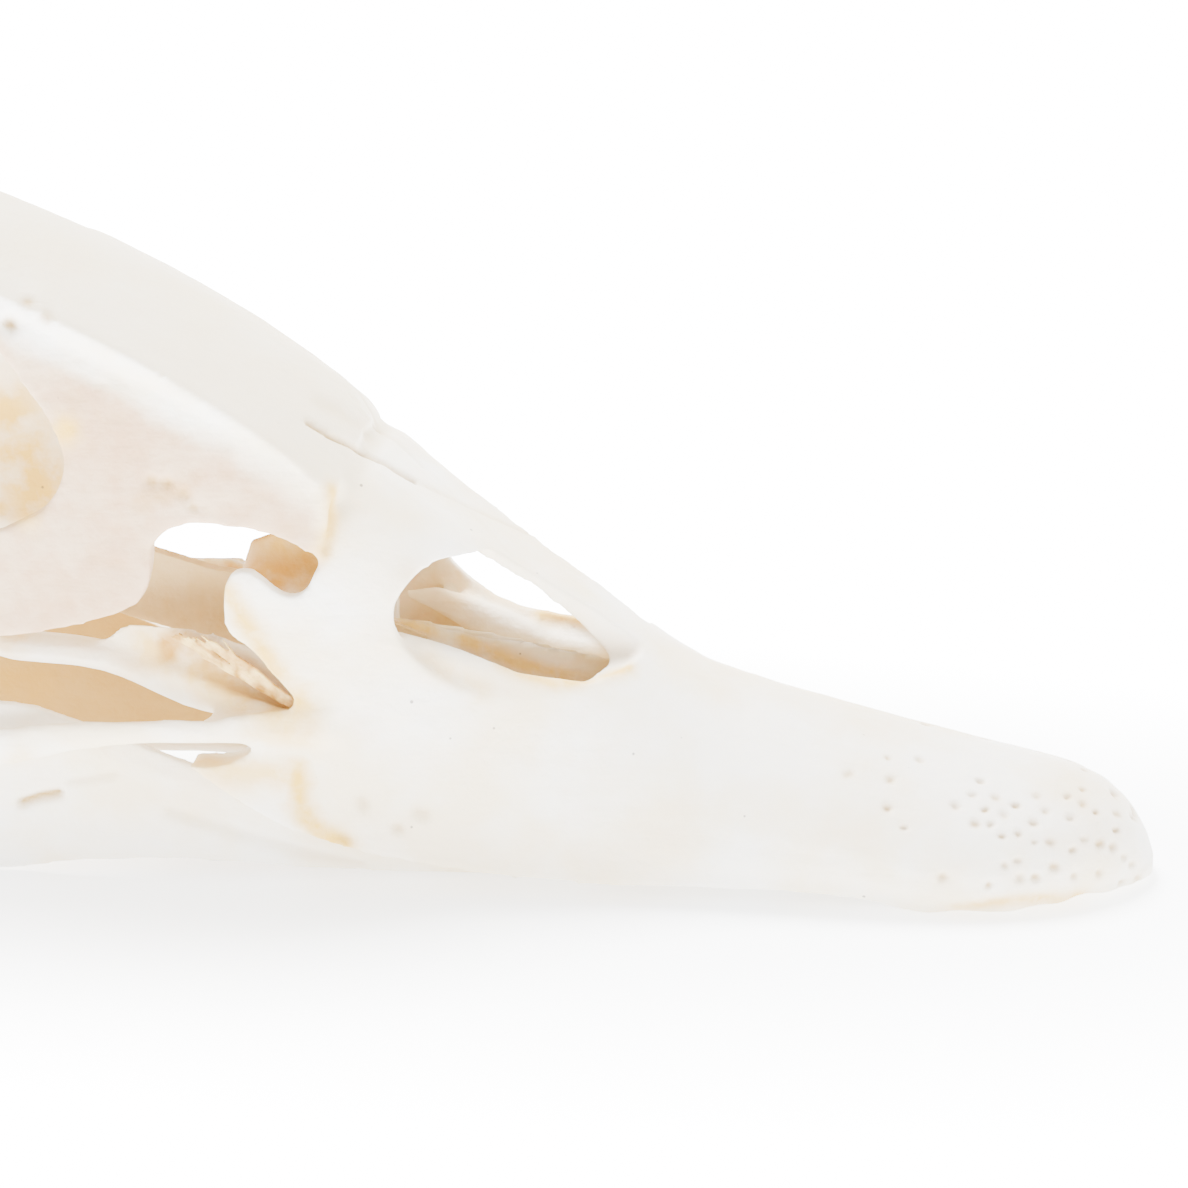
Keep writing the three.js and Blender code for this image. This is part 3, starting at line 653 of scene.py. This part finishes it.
def times(material, source, factor, other=None):
    product = add_node(material, "ShaderNodeMath", {"operation": "MULTIPLY", "use_clamp": True},
                       {0: source}, {1: factor}).outputs[0]
    if other is None:
        return product
    return add_node(material, "ShaderNodeMath", {"operation": "MULTIPLY"},
                    {0: product, 1: other}).outputs[0]


# %% Bleached bird bone
# Smooth and a little waxy: boiled and bleached, so it gives soft broad highlights and lets
# light in under its skin. Clouds are 9 mm across, flecks 1.6 mm and pores 0.35 mm, faint fibres
# run along it, and here and there is a speck of soot 0.1 mm across.
def bleached_bone(name):
    material = bpy.data.materials.new(name)
    material.use_nodes = True
    material.node_tree.nodes.clear()
    place = add_node(material, "ShaderNodeTexCoord").outputs["Object"]

    def patches(size_mm, low=0.0, high=1.0):
        waves = add_node(material, "ShaderNodeTexNoise", None, {"Vector": place},
                         {"Scale": 1 / (size_mm * MM), "Detail": 4.0})
        return add_node(material, "ShaderNodeMapRange", None, {"Value": waves.outputs["Fac"]},
                        {"From Min": low, "From Max": high}).outputs["Result"]

    def mask(attribute):
        return add_node(material, "ShaderNodeAttribute", {"attribute_name": attribute}).outputs["Fac"]

    clouds, flecks, streaks = patches(9, 0.38, 0.62), patches(1.6, 0.42, 0.66), patches(2.6, 0.3, 0.53)
    base = add_node(material, "ShaderNodeMix", {"data_type": "RGBA"}, {0: clouds},
                    {6: colour(WHITE), 7: colour(IVORY)}).outputs[2]
    # Grey-white on the upward faces of the roof, partly painted shade.
    base = lay_over(material, base, GREY_WHITE_AND_TOP_SHADE, times(material, mask("roof"), 0.8))
    # Pink of the spongy bone before the eye, partly painted shade on that side face.
    base = lay_over(material, base, PINK_AND_SIDE_SHADE, times(material, mask("spongy"), 0.9))
    base = lay_over(material, base, DULL_RED, times(material, mask("spongy"), 0.3, flecks))
    base = lay_over(material, base, DULL_RED, times(material, mask("spongy"), 0.35, clouds))
    # Painted shade in hollows, partly old fat: darker and yellower where the vertex is sheltered, with brown
    # flecks.
    base = lay_over(material, base, FAT_AND_HOLLOW_SHADE, times(material, mask("sheltered"), 0.95))
    base = lay_over(material, base, BROWN_FAT_AND_SHADE, times(material, mask("sheltered"), 0.2, flecks))
    base = lay_over(material, base, YELLOW_FAT, times(material, mask("fat"), 0.6))
    base = lay_over(material, base, YELLOW_FAT, times(material, mask("fat"), 1.2, streaks))
    # Painted shade, tan, on plates seen through openings and on the inner face of the jaw.
    base = lay_over(material, base, TAN_SHADE, mask("tan"))
    # Brown stain, and painted shade in the deepest corners.
    base = lay_over(material, base, BROWN_STAIN_AND_SHADE, times(material, mask("brown_stain_and_shade"), 0.65))
    base = lay_over(material, base, BROWN_STAIN_AND_SHADE, times(material, mask("brown_stain_and_shade"), 1.2, streaks))
    base = lay_over(material, base, GREEN, mask("green"))
    base = lay_over(material, base, BROWN_FAT_AND_SHADE, mask("held"))
    centres = add_node(material, "ShaderNodeTexVoronoi", None, {"Vector": place},
                       {"Scale": 1 / (3.2 * MM)}).outputs["Distance"]
    specks = add_node(material, "ShaderNodeMapRange", None, {"Value": centres},
                      {"From Min": 0.045, "From Max": 0.03, "To Max": 0.7}).outputs["Result"]
    base = lay_over(material, base, SOOT, specks)
    pores = add_node(material, "ShaderNodeTexVoronoi", None, {"Vector": place},
                     {"Scale": 1 / (0.35 * MM)}).outputs["Distance"]
    fine = add_node(material, "ShaderNodeBump", None, {"Height": pores},
                    {"Strength": 0.15, "Distance": 0.0001})
    lengthwise = add_node(material, "ShaderNodeMapping", None, {"Vector": place},
                          {"Scale": (0.12, 1, 1)}).outputs["Vector"]
    fibres = add_node(material, "ShaderNodeTexNoise", None, {"Vector": lengthwise},
                      {"Scale": 1 / (0.7 * MM), "Detail": 3.0}).outputs["Fac"]
    grain = add_node(material, "ShaderNodeBump", None, {"Height": fibres, "Normal": fine.outputs[0]},
                     {"Strength": 0.3, "Distance": 0.0002})
    bump = add_node(material, "ShaderNodeBump", None, {"Height": patches(0.9), "Normal": grain.outputs[0]},
                    {"Strength": 0.35, "Distance": 0.0003})
    shader = add_node(material, "ShaderNodeBsdfPrincipled", None,
                      {"Base Color": base, "Normal": bump.outputs["Normal"]},
                      {"Roughness": 0.55, "IOR": 1.54, "Specular IOR Level": 0.2, "Subsurface Weight": 0.15,
                       "Subsurface Radius": (1.0, 0.7, 0.45), "Subsurface Scale": 0.0009})
    add_node(material, "ShaderNodeOutputMaterial", None, {"Surface": shader.outputs["BSDF"]})
    return material


bone = bleached_bone("bleached bird bone")
for piece in [skull, lower_jaw, *loose_bones.values()]:
    piece.data.materials.clear()
    piece.data.materials.append(bone)
    only(piece)
    bpy.ops.object.shade_smooth()
print("bone on", 2 + len(loose_bones), "pieces")

# %% Dried gristle
# Shrunken collagen, hard and glassy like old glue, so it is smoother than bone and lets far more
# light through. Its colour changes along the strands, in patches of 1.2 mm.
gristle_stuff = bpy.data.materials.new("dried gristle")
gristle_stuff.use_nodes = True
gristle_stuff.node_tree.nodes.clear()
place = add_node(gristle_stuff, "ShaderNodeTexCoord").outputs["Object"]
mottle = add_node(gristle_stuff, "ShaderNodeTexNoise", None, {"Vector": place},
                  {"Scale": 1 / (1.2 * MM), "Detail": 3.0}).outputs["Fac"]
mottle = add_node(gristle_stuff, "ShaderNodeMapRange", None, {"Value": mottle},
                  {"From Min": 0.35, "From Max": 0.65}).outputs["Result"]
amber = add_node(gristle_stuff, "ShaderNodeMix", {"data_type": "RGBA"}, {0: mottle},
                 {6: colour("#E2C27C"), 7: colour("#9C7020")}).outputs[2]
shader = add_node(gristle_stuff, "ShaderNodeBsdfPrincipled", None, {"Base Color": amber},
                  {"Roughness": 0.4, "IOR": 1.5, "Specular IOR Level": 0.3, "Subsurface Weight": 0.3,
                   "Subsurface Radius": (1.0, 0.5, 0.2), "Subsurface Scale": 0.001})
add_node(gristle_stuff, "ShaderNodeOutputMaterial", None, {"Surface": shader.outputs["BSDF"]})
for bundle in gristles:
    bundle.data.materials.clear()
    bundle.data.materials.append(gristle_stuff)
    only(bundle)
    bpy.ops.object.shade_smooth()

# %% [markdown]
# ## Table and light
# The skull stands on a sweep of white paper that glows, burnt out white, but for an oval under
# the skull where it glows less: a painted shadow. An even white sky fills every shadow, and one
# broad soft lamp behind and above leaves the faint shadow in front.

# %% The white table
bpy.ops.object.select_all(action="DESELECT")
bpy.ops.mesh.primitive_plane_add(size=8)
table = bpy.context.active_object
table.name = table.data.name = "table"
sweep = bpy.data.materials.new("matt white paper, glowing, with a painted shadow")
sweep.use_nodes = True
paper = sweep.node_tree.nodes["Principled BSDF"]
paper.inputs["Base Color"].default_value = colour("#F6F9FC")
paper.inputs["Roughness"].default_value = 0.9
paper.inputs["Emission Color"].default_value = (1, 1, 1, 1)
place = add_node(sweep, "ShaderNodeTexCoord").outputs["Object"]
# Painted shadow: the paper glows less in an oval under the skull and fully further out.
oval = add_node(sweep, "ShaderNodeMapping", None, {"Vector": place}, {"Scale": (9, 22, 0)}).outputs["Vector"]
away = add_node(sweep, "ShaderNodeVectorMath", {"operation": "LENGTH"}, {0: oval}).outputs["Value"]
painted_shadow_glow = add_node(sweep, "ShaderNodeMapRange", {"interpolation_type": "SMOOTHSTEP"}, {"Value": away},
                {"From Min": 0.3, "From Max": 1.3, "To Min": 1.8, "To Max": 11}).outputs["Result"]
sweep.node_tree.links.new(painted_shadow_glow, paper.inputs["Emission Strength"])
table.data.materials.append(sweep)

# %% Sky and lamp
sky = bpy.data.worlds.new("even white sky")
sky.use_nodes = True
sky.node_tree.nodes["Background"].inputs["Color"].default_value = (1, 1, 1, 1)
sky.node_tree.nodes["Background"].inputs["Strength"].default_value = 2.8
bpy.context.scene.world = sky

lamp = bpy.data.objects.new("soft box above and behind", bpy.data.lights.new("soft box", "AREA"))
lamp.data.size = 0.26
lamp.data.energy = 19
lamp.location = (-0.12, 0.2, 0.52)
lamp.rotation_euler = (lamp.location - AIM).to_track_quat("Z", "Y").to_euler()
bpy.context.collection.objects.link(lamp)
print("lamp of", lamp.data.energy, "W")
